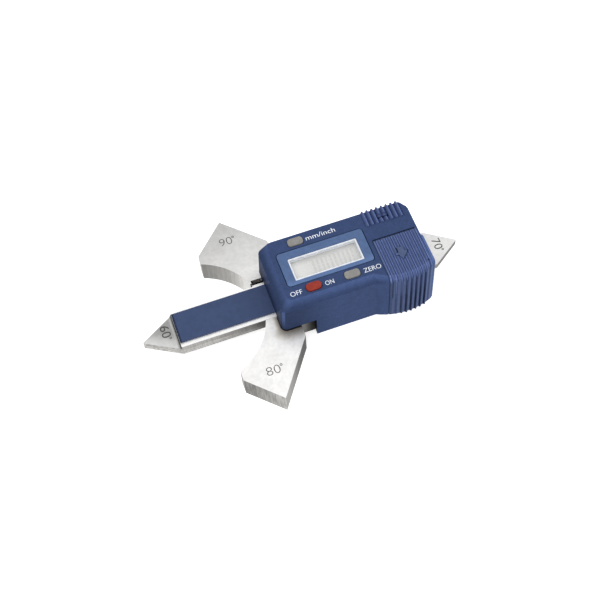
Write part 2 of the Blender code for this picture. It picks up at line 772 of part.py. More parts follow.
def build_head_cover():
    bm = bmesh.new()
    add_head_form(bm)
    head = make_piece("head_cover", bm, BLUE_PLASTIC)
    under_bay = bay_floor_top - BAY_FLOOR

    def under_bay_space(bm):
        add_box(bm, bay_left - 2 * BAY_WALL, cavity_right, -inner_half, inner_half / 2, -OVERCUT, under_bay)

    def bay(bm):
        add_box(bm, bay_left, cavity_right, bay_front, bay_rear, bay_floor_top, head_top + OVERCUT)

    def tongue_notch(bm):
        half = TONGUE_WIDTH / 2 + COVER_GAP
        low = tongue_under - COVER_GAP
        add_box(bm, cell_x - half, cell_x + half, -head_half, cover_rear + COVER_GAP, low, cover_under)

    def cover_seat(bm):
        add_prism(bm, cover_profile(COVER_GAP), cover_left - COVER_GAP, cover_right + OVERCUT, "YZ")

    def cover_end_seat(bm):
        rear = COVER_STEP_Y + COVER_GAP
        add_box(bm, head_right, cover_right + OVERCUT, -2 * head_half, rear, -OVERCUT, head_top + OVERCUT)

    def arm_notches(bm):
        for side in (-1, 1):
            near = side * (BODY_HALF_WIDTH - OVERCUT)
            far = side * (head_half + OVERCUT)
            add_box(bm, head_left - OVERCUT, skirt_left, min(near, far), max(near, far), -OVERCUT, head_under)

    def left_end(bm):
        reach = BODY_HALF_WIDTH
        add_box(bm, head_left - OVERCUT, cavity_left + OVERCUT, -reach, reach, -2 * OVERCUT, head_under)

    def beam_mouth(bm):
        left = head_left - 2 * OVERCUT
        add_box(bm, left, cover_right + OVERCUT, -mouth_half, mouth_half, -3 * OVERCUT, mouth_top)

    def bosses(bm):
        for x, y in screw_places:
            high = head_ceiling if x == left_screw_x or y > 0 else under_bay
            add_prism(bm, circle(x, y, BOSS_RADIUS, 16), rail_top + SEAT_GAP, high + SEAT_GAP)
        for x, y in post_places:
            add_prism(bm, circle(x, y, POST_RADIUS, 12), main_board_top + SEAT_GAP, head_ceiling + SEAT_GAP)

    def boss_holes(bm):
        for x, y in screw_places:
            radius = SCREW_RADIUS + SEAT_GAP / 3
            add_prism(bm, circle(x, y, radius, 12), BODY_THICK / 2, rail_top + SEAT_GAP + SCREW_HOLE_DEPTH)
        for x, y in post_places:
            radius = BOARD_SCREW_RADIUS + SEAT_GAP / 3
            add_prism(bm, circle(x, y, radius, 10), main_board_top, main_board_top + BOARD_SCREW_HOLE)

    def panel_seat(bm):
        outline = rounded_rectangle(
            panel_left - PANEL_GAP, panel_right + PANEL_GAP, panel_front - PANEL_GAP, panel_rear + PANEL_GAP,
            PANEL_CORNER + PANEL_GAP)
        add_prism(bm, outline, panel_under - SEAT_GAP / 2, head_top + OVERCUT)

    def display_opening(bm):
        grow = SEAT_GAP / 2
        add_box(bm, window_left - grow, window_right + grow, window_front - grow, window_rear + grow,
                head_ceiling - SEAT_GAP, head_top)

    def key_holes(bm):
        low = key_flange_bottom - KEY_TRAVEL
        for x, y, end_share in (
            (left_key_x, rear_key_y, KEY_END_SHARE),
            (zero_key_x, front_key_y, KEY_END_SHARE),
            (left_key_x, front_key_y, POWER_KEY_END_SHARE),
        ):
            add_prism(bm, key_outline(x, y, end_share, KEY_GAP), low, head_top + OVERCUT)

    def port_seat(bm):
        front = port_cover_front - PORT_NOTCH
        under = head_top - PORT_COVER_THICK - KEY_GAP
        side = head_half - PORT_COVER_THICK - KEY_GAP
        foot = head_top - PORT_COVER_DROP - KEY_GAP
        reach = head_half + OVERCUT
        top = head_top + OVERCUT
        outline = [(front, under), (side, under), (side, foot), (reach, foot), (reach, top), (front, top)]
        add_prism(bm, outline, port_left - KEY_GAP / 2, port_right + KEY_GAP / 2, "YZ")

    def port_opening(bm):
        low = main_board_top + 3 * SEAT_GAP
        high = head_ceiling - 4 * SEAT_GAP
        half = PORT_WIDTH / 2 - 2 * SEAT_GAP
        add_box(bm, port_x - half, port_x + half, inner_half - OVERCUT, head_half, low, high)

    def gib_access(bm):
        for x in gib_screw_xs():
            outline = circle(x, gib_middle, GIB_SCREW_RADIUS + SEAT_GAP, 12)
            add_prism(bm, outline, inner_half - OVERCUT, head_half + OVERCUT, "XZ")

    weld(head, "rear_ridges", add_rear_ridges)
    carve(head, "cavity_cut", head_cavity)
    carve(head, "under_bay_cut", under_bay_space)
    carve(head, "bay_cut", bay)
    carve(head, "cover_seat_cut", cover_seat)
    carve(head, "cover_end_cut", cover_end_seat)
    carve(head, "tongue_notch_cut", tongue_notch)
    weld(head, "boss_blank", bosses)
    carve(head, "boss_hole_cut", boss_holes)
    carve(head, "arm_notch_cut", arm_notches)
    carve(head, "left_end_cut", left_end)
    carve(head, "beam_mouth_cut", beam_mouth)
    carve(head, "panel_seat_cut", panel_seat)
    carve(head, "display_cut", display_opening)
    carve(head, "key_hole_cut", key_holes)
    carve(head, "port_seat_cut", port_seat)
    carve(head, "port_opening_cut", port_opening)
    carve(head, "gib_access_cut", gib_access)


def cover_profile(gap):
    """Section of the battery cover in YZ: side wall and top plate. The gap grows it towards the head."""
    reach = head_half + GRIP_BULGE + OVERCUT
    side = cover_inner + gap
    under = cover_under - gap
    rear = cover_rear + gap
    top = head_top + OVERCUT
    return [(-reach, -OVERCUT), (side, -OVERCUT), (side, under), (rear, under), (rear, top), (-reach, top)]


def arrow_outline(grow):
    """The arrow on the battery cover, grown by the same amount on every side."""
    slope = ARROW_HALF_WIDTH / ARROW_HEAD
    tail = cover_rear - ARROW_START
    shoulder = tail - ARROW_LENGTH + ARROW_HEAD + grow
    tip = tail - ARROW_LENGTH - grow / math.sin(math.atan(slope))
    shaft = ARROW_SHAFT_HALF + grow
    wing = (shoulder - tip) * slope
    return [
        (arrow_x - shaft, tail + grow),
        (arrow_x - shaft, shoulder),
        (arrow_x - wing, shoulder),
        (arrow_x, tip),
        (arrow_x + wing, shoulder),
        (arrow_x + shaft, shoulder),
        (arrow_x + shaft, tail + grow),
    ]


def build_battery_cover():
    origin = (cell_x, cover_rear, cover_under)
    bm = bmesh.new()
    add_head_form(bm)
    cover = make_piece("battery_cover", bm, BLUE_PLASTIC, origin)

    bm = bmesh.new()
    add_prism(bm, cover_profile(0), cover_left, cover_right + OVERCUT, "YZ")
    region = make_tool("cover_region", bm)

    def end_flange(bm):
        left = head_right + COVER_GAP
        low = mouth_top + BEAM_MOUTH_GAP
        add_box(bm, left, cover_right + OVERCUT, cover_inner - OVERCUT, COVER_STEP_Y, low, head_top + OVERCUT)

    weld(region, "end_flange_blank", end_flange)
    combine(cover, "INTERSECT", region)

    def side_core(bm):
        outline = []
        radius = grip_radius - COVER_WALL
        edge = cover_inner + OVERCUT
        steps = 12
        left = cover_left - OVERCUT
        right = cover_right - COVER_WALL
        for step in range(steps + 1):
            x = left + (right - left) * step / steps
            y = grip_centre_y - math.sqrt(radius ** 2 - (x - grip_middle) ** 2)
            outline.append((x, min(y, cover_inner - SLIDE_GAP)))
        outline += [(right, edge), (left, edge)]
        add_prism(bm, outline, -OVERCUT, cover_under)

    def right_corner(bm):
        left = head_right - END_WALL - OVERCUT
        add_box(bm, left, head_right + COVER_GAP, cover_inner, inner_half, -2 * OVERCUT, cover_under)

    def tongue(bm):
        root = cover_rear - 2 * TONGUE_REACH / 3
        tip = cover_rear + TONGUE_REACH
        outline = [
            (root, tongue_under),
            (tip, tongue_under),
            (tip, tongue_top),
            (cover_rear - SLIDE_GAP, tongue_top),
            (cover_rear - SLIDE_GAP, cover_under + TOP_WALL / 3),
            (root, cover_under + TOP_WALL / 3),
        ]
        add_prism(bm, outline, cell_x - TONGUE_WIDTH / 2, cell_x + TONGUE_WIDTH / 2, "YZ")

    bm = bmesh.new()
    for x in ridge_xs(cover_right - 2 * RIDGE_WIDTH):
        add_ridge(bm, x, front_ridge_path(x, cover_rear - RIDGE_INSET))
    ridges = make_tool("cover_ridges", bm)

    def arrow_gap(bm):
        add_prism(bm, arrow_outline(ARROW_GAP), head_ceiling, head_top + OVERCUT)

    def arrow(bm):
        add_prism(bm, arrow_outline(0), head_top - SEAT_GAP, head_top + ARROW_RISE)

    carve(cover, "side_core_cut", side_core)
    carve(ridges, "arrow_gap_cut", arrow_gap)
    combine(cover, "UNION", ridges)
    weld(cover, "arrow_blank", arrow)
    weld(cover, "tongue_blank", tongue)


def build_port_cover():
    bm = bmesh.new()
    under = head_top - PORT_COVER_THICK
    side = head_half - PORT_COVER_THICK
    foot = head_top - PORT_COVER_DROP
    edge = EDGE_ROUND
    outline = [
        (port_cover_front, under),
        (side, under),
        (side, foot),
        (head_half, foot),
        (head_half, head_top - edge),
        (head_half - edge * EDGE_EASE, head_top - edge * EDGE_EASE),
        (head_half - edge, head_top),
        (port_cover_front, head_top),
    ]
    add_prism(bm, outline, port_left + KEY_GAP / 2, port_right - KEY_GAP / 2, "YZ")
    cover = make_piece("port_cover", bm, BLUE_PLASTIC, (port_x, head_half, head_top))

    def ridges(bm):
        for x in rear_ridge_xs():
            if port_left + RIDGE_WIDTH / 2 < x < port_right - RIDGE_WIDTH / 2:
                path = rear_ridge_path(port_cover_front + RIDGE_WIDTH, foot + SEAT_GAP)
                add_ridge(bm, x, path)

    weld(cover, "port_ridges", ridges)


# Window and display


def add_frame(bm, outer, inner, low, high):
    """A flat frame between two outlines of equal point count."""
    rings = []
    for outline, level in ((outer, low), (outer, high), (inner, high), (inner, low)):
        rings.append([bm.verts.new((x, y, level)) for x, y in outline])
    count = len(outer)
    for row in range(4):
        near, far = rings[row], rings[(row + 1) % 4]
        for index in range(count):
            following = (index + 1) % count
            bm.faces.new((near[index], near[following], far[following], far[index]))


def build_display():
    outer = rounded_rectangle(panel_left, panel_right, panel_front, panel_rear, PANEL_CORNER)
    inner = rounded_rectangle(window_left, window_right, window_front, window_rear, BEZEL_RIM / 2)
    bm = bmesh.new()
    add_frame(bm, outer, inner, panel_under, head_top)
    make_piece("window_panel", bm, BLUE_PLASTIC)

    gap = SEAT_GAP / 3
    rim = rounded_rectangle(
        window_left + gap, window_right - gap, window_front + gap, window_rear - gap, BEZEL_RIM / 2)
    opening = rounded_rectangle(
        window_left + BEZEL_RIM, window_right - BEZEL_RIM, window_front + BEZEL_RIM, window_rear - BEZEL_RIM,
        BEZEL_RIM / 4)
    bm = bmesh.new()
    add_frame(bm, rim, opening, head_ceiling, head_top - BEZEL_SINK)
    make_piece("lcd_bezel", bm, WHITE_RIM)

    bm = bmesh.new()
    inset = BEZEL_RIM + gap
    lens_top = head_top - LENS_SINK
    add_box(bm, window_left + inset, window_right - inset, window_front + inset, window_rear - inset,
            lens_top - LENS_THICK, lens_top)
    make_piece("window_lens", bm, CLEAR)

    lcd_left = window_left - LCD_BORDER
    lcd_right = window_right + LCD_BORDER
    lcd_front = window_front - LCD_BORDER / 2
    lcd_rear = window_rear + LCD_BORDER / 2
    bm = bmesh.new()
    add_box(bm, lcd_left, lcd_right, lcd_front, lcd_rear, lcd_bottom, lcd_top)
    make_piece("lcd_glass", bm, DISPLAY)
    for name, edge in ("lcd_connector_front", lcd_front), ("lcd_connector_rear", lcd_rear - CONNECTOR_WIDTH):
        bm = bmesh.new()
        add_box(bm, lcd_left + SEAT_GAP, lcd_right - SEAT_GAP, edge, edge + CONNECTOR_WIDTH,
                connector_bottom, connector_top)
        make_piece(name, bm, RUBBER_GREY)


# Keys


def key_outline(x, y, end_share, grow):
    half_length = KEY_LENGTH / 2 + grow
    half_width = KEY_WIDTH / 2 + grow
    return rounded_rectangle(
        x - half_length, x + half_length, y - half_width, y + half_width, half_width * end_share, 5)


def build_key(name, x, y, end_share, proud, finish):
    top = head_top + proud
    bm = bmesh.new()
    ease = KEY_CROWN * KEY_CROWN_EASE
    levels = [(0, key_flange_top), (0, top - KEY_CROWN), (-ease, top - ease), (-KEY_CROWN, top)]
    rings = []
    for grow, level in levels:
        rings.append([(u, v, level) for u, v in key_outline(x, y, end_share, grow)])
    close_loft(bm, rings)
    key = make_piece(name, bm, finish, (x, y, key_flange_bottom))

    def flange(bm):
        half_length = KEY_LENGTH / 2 + KEY_EAR
        half_width = SWITCH_WIDTH / 2
        add_box(bm, x - half_length, x + half_length, y - half_width, y + half_width,
                key_flange_bottom, key_flange_top + KEY_GAP / 2)

    weld(key, name + "_flange", flange)


def build_keys():
    build_key("unit_button", left_key_x, rear_key_y, KEY_END_SHARE, KEY_PROUD, GREY_KEY)
    build_key("zero_button", zero_key_x, front_key_y, KEY_END_SHARE, KEY_PROUD, GREY_KEY)
    build_key("power_button", left_key_x, front_key_y, POWER_KEY_END_SHARE, POWER_KEY_PROUD, RED_KEY)

    for name, x, y in (
        ("unit_switch", left_key_x, rear_key_y),
        ("power_switch", left_key_x, front_key_y),
        ("zero_switch", zero_key_x, front_key_y),
    ):
        build_switch(name, x, min(y, board_half - SWITCH_WIDTH / 2))


def build_switch(name, x, y):
    half_length = SWITCH_LENGTH / 2
    half_width = SWITCH_WIDTH / 2
    bm = bmesh.new()
    add_box(bm, x - half_length, x + half_length, y - half_width, y + half_width,
            main_board_top + SEAT_GAP, plunger_top - PLUNGER_RISE)
    switch = make_piece(name, bm, BLACK_PLASTIC)

    def plunger(bm):
        add_prism(bm, circle(x, y, PLUNGER_RADIUS, 16), plunger_top - 2 * PLUNGER_RISE, plunger_top)

    weld(switch, name + "_plunger", plunger)


# Boards


def build_boards():
    bm = bmesh.new()
    outline = [
        (board_left, -board_half),
        (board_right, -board_half),
        (board_right, wing_front),
        (wing_right, wing_front),
        (wing_right, board_half),
        (board_left, board_half),
    ]
    add_prism(bm, outline, main_board_bottom, main_board_top)
    board = make_piece("main_board", bm, BOARD_GREEN)

    def post_holes(bm):
        for x, y in post_places:
            radius = BOARD_SCREW_RADIUS + SEAT_GAP / 3
            add_prism(bm, circle(x, y, radius, 10), main_board_bottom - OVERCUT, main_board_top + OVERCUT)

    def boss_notch(bm):
        x, y = right_screw_x, right_screw_y
        add_prism(bm, circle(x, y, BOSS_RADIUS + SEAT_GAP, 16), main_board_bottom - OVERCUT,
                  main_board_top + OVERCUT)

    carve(board, "post_hole_cut", post_holes)
    carve(board, "boss_notch_cut", boss_notch)

    screw_face = main_board_bottom - SEAT_GAP
    crown = BOARD_SCREW_HEAD * BOARD_SCREW_CROWN
    profile = [
        (crown, screw_face - crown),
        (BOARD_SCREW_HEAD, screw_face - 2 * crown + BOARD_SCREW_HEAD),
        (BOARD_SCREW_HEAD, screw_face),
        (BOARD_SCREW_RADIUS, screw_face),
        (BOARD_SCREW_RADIUS, main_board_top + BOARD_SCREW_REACH),
    ]
    for number, (x, y) in enumerate(post_places, 1):
        bm = bmesh.new()
        add_turned(bm, x, y, profile, 12)
        make_piece(f"board_screw_{number}", bm, SCREW_STEEL)

    bm = bmesh.new()
    sensor_right = right_screw_x - BOSS_RADIUS - BOARD_MARGIN
    sensor_left = max(board_left, rail_left + BOARD_MARGIN)
    add_box(bm, sensor_left, sensor_right, -board_half, board_half, sensor_board_bottom, sensor_board_top)
    make_piece("sensor_board", bm, BOARD_GREEN)

    middle = (board_left + board_right) / 2
    header_rear = board_half - BOARD_MARGIN - SWITCH_WIDTH
    bm = bmesh.new()
    add_box(bm, middle - HEADER_LENGTH / 2, middle + HEADER_LENGTH / 2, header_rear - HEADER_WIDTH, header_rear,
            sensor_board_top + SEAT_GAP, main_board_bottom - SEAT_GAP)
    make_piece("board_header", bm, BLACK_PLASTIC)

    bm = bmesh.new()
    chip_top = main_board_bottom - SEAT_GAP
    add_box(bm, middle - CHIP_SIZE / 2, middle + CHIP_SIZE / 2, -CHIP_SIZE / 2, CHIP_SIZE / 2,
            chip_top - CHIP_THICK, chip_top)
    make_piece("controller_chip", bm, BLACK_PLASTIC)

    bm = bmesh.new()
    rear = inner_half - SEAT_GAP
    half = PORT_WIDTH / 2 - 2 * SEAT_GAP
    add_box(bm, port_x - half, port_x + half, rear - PORT_BLOCK_DEPTH, rear,
            main_board_top + SEAT_GAP, head_ceiling - 5 * SEAT_GAP)
    make_piece("data_port", bm, BLACK_PLASTIC)


# Battery


def build_battery():
    bm = bmesh.new()
    profile = [
        (CELL_RADIUS * CELL_BASE_SHARE, cell_bottom),
        (CELL_RADIUS * CELL_RIM_SHARE, cell_bottom + 2 * CELL_EDGE),
        (CELL_RADIUS, cell_bottom + 2 * CELL_EDGE),
        (CELL_RADIUS, cell_top - CELL_EDGE),
        (CELL_RADIUS - CELL_EDGE, cell_top),
    ]
    add_turned(bm, cell_x, cell_y, profile, 32)
    make_piece("coin_cell", bm, BRIGHT_METAL)

    bm = bmesh.new()
    low = bay_floor_top + SEAT_GAP
    outline = rounded_rectangle(
        bay_left + SEAT_GAP, cell_x + CELL_RADIUS / 2, cell_y - CELL_RADIUS / 3, cell_y + CELL_RADIUS / 3,
        CELL_RADIUS / 6)
    add_prism(bm, outline, low, low + CONTACT_THICK)
    make_piece("battery_contact_negative", bm, GOLD)

    bm = bmesh.new()
    left = cell_x + CELL_RADIUS + SEAT_GAP / 2
    add_box(bm, left, left + CONTACT_THICK, cell_y - CELL_RADIUS / 3, cell_y + CELL_RADIUS / 3,
            bay_floor_top + SEAT_GAP, cell_top)
    make_piece("battery_contact_positive", bm, GOLD)


# Head screws


def build_head_screws():
    face = 2 * SLIDE_GAP
    tip = rail_top + SEAT_GAP + SCREW_REACH
    profile = [
        (SOCKET_RADIUS, face + 2 * SOCKET_RADIUS),
        (SOCKET_RADIUS, face),
        (SCREW_HEAD_RADIUS, face),
        (SCREW_RADIUS, face + SCREW_HEAD_RADIUS - SCREW_RADIUS),
        (SCREW_RADIUS, tip - SCREW_RADIUS / 2),
        (SCREW_RADIUS / 2, tip),
    ]
    for number, (x, y) in enumerate(screw_places, 1):
        bm = bmesh.new()
        add_turned(bm, x, y, profile)
        make_piece(f"head_screw_{number}", bm, SCREW_STEEL)


def main():
    for old in list(bpy.data.objects):
        bpy.data.objects.remove(old, do_unlink=True)
    build_body()
    build_gib()
    build_beam()
    build_head_cover()
    build_battery_cover()
    build_port_cover()
    build_display()
    build_keys()
    build_boards()
    build_battery()
    build_head_screws()


main()
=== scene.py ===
"""Looks of the digital weld gauge: materials, markings, display, floor, light and camera.

A paint is a factor on a base colour that follows the place on the part at rest, in millimetres, or the way that a
face looks; most paints are painted light and shade, highlights and reflections. A fade is written as (start, end,
tone at the start, tone at the end). Where a fade belongs to a place, its start and end are counted from that place.
"""

import json
import math

import bmesh
import bpy
from mathutils import Matrix, Vector

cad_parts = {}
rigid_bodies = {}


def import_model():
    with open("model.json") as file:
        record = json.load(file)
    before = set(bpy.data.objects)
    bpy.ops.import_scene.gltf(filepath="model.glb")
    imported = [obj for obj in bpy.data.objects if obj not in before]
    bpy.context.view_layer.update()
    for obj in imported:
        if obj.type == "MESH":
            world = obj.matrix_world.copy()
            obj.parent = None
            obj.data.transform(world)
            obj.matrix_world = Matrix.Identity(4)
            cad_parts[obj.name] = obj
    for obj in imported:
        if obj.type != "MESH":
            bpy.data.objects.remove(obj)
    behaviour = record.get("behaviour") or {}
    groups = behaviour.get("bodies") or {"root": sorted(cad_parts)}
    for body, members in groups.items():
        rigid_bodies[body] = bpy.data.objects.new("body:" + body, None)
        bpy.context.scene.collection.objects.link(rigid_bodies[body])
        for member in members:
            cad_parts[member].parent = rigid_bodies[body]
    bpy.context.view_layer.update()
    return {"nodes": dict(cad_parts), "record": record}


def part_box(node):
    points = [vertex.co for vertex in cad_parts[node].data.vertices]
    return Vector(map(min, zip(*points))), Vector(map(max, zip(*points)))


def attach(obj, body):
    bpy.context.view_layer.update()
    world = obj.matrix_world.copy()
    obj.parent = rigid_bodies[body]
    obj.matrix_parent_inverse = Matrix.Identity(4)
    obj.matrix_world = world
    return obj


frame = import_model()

nodes = frame["nodes"]
MM = 0.001

# Colours, linear
STEEL = (0.97, 0.965, 0.955)
# Painted shade: the steel as its upright faces show it
STEEL_SIDE_SHADE = (0.80, 0.785, 0.755)
STEEL_SHADOW = (0.90, 0.82, 0.70)
SCREW = (0.3, 0.3, 0.31)
CELL = (0.7, 0.69, 0.66)
# Painted shade: the share of their colour that screws and cells show on upright faces
SIDE_SHADE_SHARE = 0.7
BLUE = (0.0405, 0.0645, 0.149)
PANEL_BLUE = (0.079, 0.130, 0.258)
LABEL_BLUE = (0.045, 0.068, 0.145)
# Lit and shaded copies of the blue, for the painted light and shade of the ridges
RIDGE_SHADED = (0.022, 0.035, 0.100)
RIDGE_LIT = (0.125, 0.168, 0.315)
WHITE = (0.72, 0.75, 0.80)
WHITE_INK = (0.88, 0.91, 0.96)
CLEAR = (0.97, 0.98, 1.0)
CLEAR_ALPHA = 0.12
CLEAR_IOR = 1.3
DISPLAY = (0.59, 0.59, 0.56)
SEGMENT = (0.495, 0.49, 0.465)
GREY_KEY = (0.242, 0.238, 0.228)
RED_KEY = (0.285, 0.038, 0.026)
INK = (0.085, 0.081, 0.075)
BOARD = (0.012, 0.02, 0.035)
DARK = (0.015, 0.015, 0.017)
FLOOR = (0.93, 0.93, 0.93)

# Noises: scale per millimetre, detail and, where it is fixed, amount
FLAT_CLOUDS = (0.9, 3.0, 0.035)
BROAD_CLOUDS = (0.22, 2.0, 0.035)
TOOL_MARKS = (2.2, 3.0)
END_MARKS = (1.5, 3.0, 0.25)
BEAM_STREAKS = (1.1, 2.0, 0.22)
MOULD_CLOUDS = (0.4, 2.0, 0.05)
MOTTLE = (1.0, 2.0)
BLUE_MOTTLE = (1.8, 2.0, 0.08)
LABEL_CLOUDS = (0.5, 3.0, 0.05)
DISPLAY_CLOUDS = (0.3, 2.0, 0.02)
CLOUD_RANGE = (0.3, 0.7)
UPRIGHT = (1, 1, 0.1)
ALONG_BEAM = (0.06, 1, 1)
GRAIN = (6.0, 2.0)
GRAIN_STRENGTH = 0.35
STEEL_GRAIN = (4.0, 4.0)
STEEL_GRAIN_STRENGTH = 0.25
STEEL_GRAIN_DEPTH = 0.02
BLUE_GRAIN_DEPTH = 0.01
LABEL_GRAIN_DEPTH = 0.003

# Steel body: painted light on its flats
FRONT_TO_REAR = (-10.0, 2.0, 0.88, 0.73)
REAR_ARM = (12.0, 42.0, 1.07, 0.78)
FEET_TO_ROOTS = (3.0, 20.0, 0.96, 1.02)
FRONT_ARM = (-9.0, -7.0, 1.0, 0.0)

# Shade of the head on the front arm
HEAD_ROUND = 2.4
SHADOW_REACH = 5.5
SHADOW_NARROWS = (-1.0, 3.0, 1.0, 2.4)
HEAD_SHADOW = (0.0, 1.0, 0.38, 1.0)
CONTACT_LINE = (0.04, 0.12, 0.12, 1.0)

# Steel body: painted light and shade on its sides, and painted reflection on all steel sides by the way they turn
SIDE_BY_TURN = (
    (0.0, 0.95), (0.025, 1.0), (0.075, 0.95), (0.15, 0.65), (0.32, 0.42), (0.5, 0.5), (0.65, 0.28),
)
REAR_HALF = (-4.0, 0.0, 0.0, 1.0)
HOLLOW_REACH = (0.0, 4.0, 0.0, 1.0)
HOLLOW_END = (11.0, 20.0, 1.0, 2.0)
FRONT_ARM_RIGHT = (2.0, 20.0, 2.3, 0.5)
FRONT_ARM_END = (0.0, 15.0, 0.65, 1.2)
FACES_RIGHT = (0.2, 0.4, 0.0, 1.0)
NEAR_HEAD = (-20.0, -16.0, 0.0, 1.0)
UNDER_HEAD = (-7.0, -1.5, 0.8, 0.05)

# Beam and gib: painted light and shade
POINT_SLOPE = 0.577
POINT_TONE = (0.5, 7.0, 0.66, 0.36)
STEP_FOOT = (8.82, 8.9, 0.0, 1.0)
STEP_TONE = (8.9, 9.7, 0.5, 0.06)
STEP_HEAD = (10.3, 10.45, 0.0, 1.0)
RIGHT_END_TONE = (0.0, 2.0, 1.0, 0.82)
BRIGHT_RUN = 8.0
DULL_RUN = 10.0
BEAM_SIDE_TONES = (1.5, 0.78)
BEAM_BESIDE_HEAD = (-12.0, -5.0, 1.0, 0.5)
BEAM_INSIDE_HEAD = (0.0, 3.0, 1.0, 2.6)
BEAM_PAST_HEAD = (0.0, 1.0, 1.0, 1.23)
BEAM_SIDE_HEIGHT = (6.0, 9.5, 1.1, 0.9)
STEP_SIDE_FOOT = (8.8, 8.9, 0.0, 1.0)
STEP_SIDE_TONE = (8.9, 9.7, 0.48, 0.05)
LEFT_OF_LABEL = (-0.1, 0.1, 1.0, 0.0)
GIB_TONE = (-0.8, -0.6, 0.95, 0.004)

# Blue plastic: painted light and shade by the way a face turns, painted highlights on the edges, and the dark seam
FACING_LEFT = (-0.75, -0.3, 0.72, 1.0)
FACING_PARTLY_RIGHT = (0.25, 0.6, 1.0, 1.75)
FACING_RIGHT = (0.75, 0.95, 1.0, 1.5)
FRONT_WALL = (-0.9, -0.6, 1.0, 0.0)
FRONT_WALL_TONE = (4.0, 24.0, 0.75, 1.25)
LEFT_WALL = (-0.95, -0.7, 1.0, 0.0)
LEFT_WALL_TONE = (11.0, 21.0, 0.35, 1.0)
BEVEL_STEEPEST = (0.3, 0.5, 0.0, 1.0)
BEVEL_FLATTEST = (0.9, 0.98, 1.0, 0.0)
BEVEL_TONE = (-2.6, -0.1, 0.85, 1.5)
CORNER_FROM_FRONT = (-0.62, -0.4, 1.0, 0.0)
CORNER_FROM_LEFT = (-0.9, -0.75, 0.0, 1.0)
CORNER_AT_FRONT = (-0.35, -0.2, 1.0, 0.0)
CORNER_HEIGHT = (-16.0, -6.0, 0.0, 1.0)
CORNER_TONE = 2.4
SEAM_HALF = 0.35
SEAM_SOFT = 0.1
SEAM_REACH = 16.4
SEAM_LEVEL = (-0.6, -0.3, 0.0, 1.0)
SEAM_TONE = 0.35

# Ridges: painted light and shade over one pitch, from one valley to the next
RIDGE_PITCH = 2.0
RIDGE_ON_TOP = (
    (0.0, 0.0), (0.11, 0.0), (0.2, 0.4), (0.34, 0.85), (0.42, 0.75),
    (0.54, 0.5), (0.64, 0.6), (0.76, 1.0), (0.88, 0.55), (1.0, 0.0),
)
RIDGE_AT_REAR = ((0.0, 0.5), (0.2, 0.32), (0.35, 0.08), (0.5, 0.0), (0.68, 0.15), (0.84, 0.42), (1.0, 0.5))
RIDGE_ON_WALL = (
    (0.0, 0.3), (0.12, 0.5), (0.28, 0.95), (0.45, 1.0), (0.6, 0.85), (0.72, 0.4), (0.85, 0.12), (1.0, 0.3),
)
VALLEY_TONE = (0.05, 0.25, 0.7, 1.0)
REAR_RIDGES = (2.0, 4.0, 0.0, 1.0)
WALL_RIDGES_GROW = (-1.0, 9.0, 0.25, 1.0)
WALL_PLAIN = 0.42
WALL_DARK_SHARE = 0.85
WALL_LIGHT_SHARE = 0.8
TOP_FROM_WALL = (-2.6, -1.0, 0.0, 1.0)
# Painted shade of a slot in the wall of the grip
WALL_SLOT_X = 29.9
WALL_SLOT_HALF = 0.3
WALL_SLOT_HEIGHT = (12.0, 13.0, 0.0, 1.0)
WALL_SLOT_TONE = 0.45
ARROW_TONE = 0.62
ARROW_RISE = (0.0, 0.1, 0.0, 1.0)
HEAD_RIDGES_START = 0.9
HEAD_RIDGES_END = 15.3
HEAD_RIDGES_FRONT = (-7.9, -7.6, 0.0, 1.0)
COVER_RIDGES_END = 17.0

# Panel, label and display: painted shade at the label's left end and painted light and shade on the display
PANEL_FRONT = (0.0, 4.0, 1.3, 1.0)
LABEL_LEFT_END = (0.6, 0.9, 0.4, 1.0)
DISPLAY_REAR = (-2.6, 0.0, 1.0, 0.72)
DISPLAY_RIGHT = (-2.5, 0.0, 1.0, 0.8)
DISPLAY_LEFT = (0.0, 9.0, 1.2, 1.02)
SHARP_ANGLE = 28

# Display segments, in millimetres
SEGMENT_DIGITS = 5
SEGMENT_START = 8.0
SEGMENT_PITCH = 3.5
SEGMENT_WIDE = 1.7
SEGMENT_TALL = 3.0
SEGMENT_BAR = 0.85
SEGMENT_HALF_GAP = 0.15
SEGMENT_LEAN = 0.12
SEGMENT_SHIFT = 0.1

# Lettering: share of a font's size that a capital takes, thickness and lift in millimetres
CAPITAL_SHARE = 0.72
INK_THICK = 0.02
INK_LIFT = 0.01
NUMBER_WIDTH = 1.12
POINT_STEP = 1.7

# Ring beside a number, in heights of the number
RING_ASIDE = 1.5
RING_LIFT = 0.25
RING_SHARE = 0.66
RING_WEIGHT = 0.03

# Floor and light
FLOOR_HALF = 3.0
FLOOR_DROP = 0.0002
FLOOR_GLOW = 0.6
SKY_STRENGTH = 1.0
BELOW_STRENGTH = 0.8
HORIZON = 0.02
KEY_PLACE = (-0.35, -0.15, 0.7)
KEY_SIZE = 0.5
KEY_ENERGY = 1.4

# Camera, fitted to the photograph
CAMERA_PLACE = (-0.066497, -0.234058, 0.413131)
CAMERA_TURN = (30.5281, 2.4199, -19.4150)
CAMERA_LENS = 72.0
CAMERA_CLIP = 0.01
SENSOR = 36.0


def box_mm(name):
    return [corner * 1000 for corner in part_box(name)]


# Places on the gauge that the paint follows, in millimetres
head_low, head_high = box_mm("head_cover")
cover_low, cover_high = box_mm("battery_cover")
panel_low, panel_high = box_mm("window_panel")
lens_low, lens_high = box_mm("window_lens")
body_low = box_mm("angle_body")[0]
beam_low = box_mm("beam")[0]
label_low = box_mm("scale_label")[0]
gib_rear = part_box("gib_strip")[1].y * 1000
head_top = panel_high.z
head_front = -head_high.y + 0.75
ridge_first = cover_low.x + 0.8
cover_rear = cover_high.y - 1.8
arrow_base = cover_high.z - 0.15


# Shader nodes


